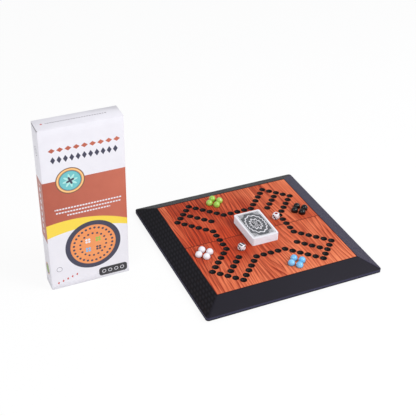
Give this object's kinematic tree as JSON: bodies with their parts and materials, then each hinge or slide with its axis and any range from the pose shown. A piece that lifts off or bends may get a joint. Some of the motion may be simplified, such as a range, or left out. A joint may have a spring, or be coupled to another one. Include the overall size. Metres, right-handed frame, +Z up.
{
  "type": "folding marble-track board game with carton",
  "caption": "Folding board with drilled wood-print playing plates in a black moulded tray, with marbles, dice, a card deck and a tuck-top carton.",
  "frame": {"origin": "centre of the whole set's footprint, on the table that it stands on", "axes": "+X along the board's front edge from the carton to the board, +Y from the board's front half to its rear half, +Z up"},
  "size_m": [0.601, 0.372, 0.34],
  "materials": {
    "tray": "matte black with a fine embossed weave on the border",
    "plate": "reddish wood-print face, black drilled holes",
    "steel": "plain",
    "foot": "plain",
    "marble_green": "polished",
    "marble_white": "polished",
    "marble_blue": "polished",
    "marble_black": "polished",
    "die": "rounded, with pips",
    "card": "white edges, black and white back",
    "carton": "printed"
  },
  "bodies": {
    "board_rear": {"tray_rear": "tray", "plate_rear": "plate", "hinge_pin_left": "steel", "hinge_pin_right": "steel", "foot_rear_inner_left": "foot", "foot_rear_inner_right": "foot", "foot_rear_outer_left": "foot", "foot_rear_outer_right": "foot", "magnet_rear_left": "steel", "magnet_rear_right": "steel"},
    "board_front": {"tray_front": "tray", "plate_front": "plate", "foot_front_inner_left": "foot", "foot_front_inner_right": "foot", "foot_front_outer_left": "foot", "foot_front_outer_right": "foot", "magnet_front_left": "steel", "magnet_front_right": "steel"},
    "marble_green_1": {"marble_green_1": "marble_green"},
    "marble_green_2": {"marble_green_2": "marble_green"},
    "marble_green_3": {"marble_green_3": "marble_green"},
    "marble_green_4": {"marble_green_4": "marble_green"},
    "marble_white_1": {"marble_white_1": "marble_white"},
    "marble_white_2": {"marble_white_2": "marble_white"},
    "marble_white_3": {"marble_white_3": "marble_white"},
    "marble_white_4": {"marble_white_4": "marble_white"},
    "marble_blue_1": {"marble_blue_1": "marble_blue"},
    "marble_blue_2": {"marble_blue_2": "marble_blue"},
    "marble_blue_3": {"marble_blue_3": "marble_blue"},
    "marble_blue_4": {"marble_blue_4": "marble_blue"},
    "marble_black_1": {"marble_black_1": "marble_black"},
    "marble_black_2": {"marble_black_2": "marble_black"},
    "marble_black_3": {"marble_black_3": "marble_black"},
    "marble_black_4": {"marble_black_4": "marble_black"},
    "die_left": {"die_left": "die"},
    "die_right": {"die_right": "die"},
    "deck_block": {"deck_block": "card"},
    "card_second": {"card_second": "card"},
    "card_top": {"card_top": "card"},
    "carton": {"carton_sleeve": "carton", "carton_base": "carton"},
    "carton_lid": {"carton_lid": "carton"},
    "carton_tongue": {"carton_tongue": "carton"},
    "carton_flap_left": {"carton_flap_left": "carton"},
    "carton_flap_right": {"carton_flap_right": "carton"}
  },
  "joints": [
    {"name": "board_fold", "type": "hinge", "parent": "board_rear", "child": "board_front", "pos_m": [0.1145, 0, 0.0027], "axis": [1, 0, 0], "range_deg": [0, 180]},
    {"name": "marble_green_1_lift", "type": "slide", "parent": "board_rear", "child": "marble_green_1", "axis": [0, 0, 1], "range_m": [0, 0.03]},
    {"name": "marble_green_2_lift", "type": "slide", "parent": "board_rear", "child": "marble_green_2", "axis": [0, 0, 1], "range_m": [0, 0.03]},
    {"name": "marble_green_3_lift", "type": "slide", "parent": "board_rear", "child": "marble_green_3", "axis": [0, 0, 1], "range_m": [0, 0.03]},
    {"name": "marble_green_4_lift", "type": "slide", "parent": "board_rear", "child": "marble_green_4", "axis": [0, 0, 1], "range_m": [0, 0.03]},
    {"name": "marble_white_1_lift", "type": "slide", "parent": "board_front", "child": "marble_white_1", "axis": [0, 0, 1], "range_m": [0, 0.03]},
    {"name": "marble_white_2_lift", "type": "slide", "parent": "board_front", "child": "marble_white_2", "axis": [0, 0, 1], "range_m": [0, 0.03]},
    {"name": "marble_white_3_lift", "type": "slide", "parent": "board_front", "child": "marble_white_3", "axis": [0, 0, 1], "range_m": [0, 0.03]},
    {"name": "marble_white_4_lift", "type": "slide", "parent": "board_front", "child": "marble_white_4", "axis": [0, 0, 1], "range_m": [0, 0.03]},
    {"name": "marble_blue_1_lift", "type": "slide", "parent": "board_front", "child": "marble_blue_1", "axis": [0, 0, 1], "range_m": [0, 0.03]},
    {"name": "marble_blue_2_lift", "type": "slide", "parent": "board_front", "child": "marble_blue_2", "axis": [0, 0, 1], "range_m": [0, 0.03]},
    {"name": "marble_blue_3_lift", "type": "slide", "parent": "board_front", "child": "marble_blue_3", "axis": [0, 0, 1], "range_m": [0, 0.03]},
    {"name": "marble_blue_4_lift", "type": "slide", "parent": "board_front", "child": "marble_blue_4", "axis": [0, 0, 1], "range_m": [0, 0.03]},
    {"name": "marble_black_1_lift", "type": "slide", "parent": "board_rear", "child": "marble_black_1", "axis": [0, 0, 1], "range_m": [0, 0.03]},
    {"name": "marble_black_2_lift", "type": "slide", "parent": "board_rear", "child": "marble_black_2", "axis": [0, 0, 1], "range_m": [0, 0.03]},
    {"name": "marble_black_3_lift", "type": "slide", "parent": "board_rear", "child": "marble_black_3", "axis": [0, 0, 1], "range_m": [0, 0.03]},
    {"name": "marble_black_4_lift", "type": "slide", "parent": "board_rear", "child": "marble_black_4", "axis": [0, 0, 1], "range_m": [0, 0.03]},
    {"name": "die_left_lift", "type": "slide", "parent": "board_front", "child": "die_left", "axis": [0, 0, 1], "range_m": [0, 0.03]},
    {"name": "die_right_lift", "type": "slide", "parent": "board_rear", "child": "die_right", "axis": [0, 0, 1], "range_m": [0, 0.03]},
    {"name": "deck_block_lift", "type": "slide", "parent": "board_rear", "child": "deck_block", "axis": [0, 0, 1], "range_m": [0, 0.03]},
    {"name": "card_second_lift", "type": "slide", "parent": "deck_block", "child": "card_second", "axis": [0, 0, 1], "range_m": [0, 0.01]},
    {"name": "card_top_lift", "type": "slide", "parent": "card_second", "child": "card_top", "axis": [0, 0, 1], "range_m": [0, 0.01]},
    {"name": "carton_lift", "type": "slide", "parent": "board_rear", "child": "carton", "axis": [0, 0, 1], "range_m": [0, 0.03]},
    {"name": "carton_lid_open", "type": "hinge", "parent": "carton", "child": "carton_lid", "pos_m": [-0.2245, 0.046, 0.339], "axis": [-1, 0, 0], "range_deg": [0, 100]},
    {"name": "carton_tongue_fold", "type": "hinge", "parent": "carton_lid", "child": "carton_tongue", "pos_m": [-0.2245, 0.0103, 0.33895], "axis": [1, 0, 0], "range_deg": [0, 112]},
    {"name": "carton_flap_left_open", "type": "hinge", "parent": "carton", "child": "carton_flap_left", "pos_m": [-0.29945, 0.027, 0.33895], "axis": [0, -1, 0], "range_deg": [0, 60]},
    {"name": "carton_flap_right_open", "type": "hinge", "parent": "carton", "child": "carton_flap_right", "pos_m": [-0.14955, 0.027, 0.33895], "axis": [0, 1, 0], "range_deg": [0, 60]}
  ],
  "couplings": [
    {"joint": "carton_tongue_fold", "follows": "carton_lid_open", "ratio": 0.9},
    {"joint": "carton_flap_left_open", "follows": "carton_lid_open", "ratio": 0.5},
    {"joint": "carton_flap_right_open", "follows": "carton_lid_open", "ratio": 0.5}
  ]
}
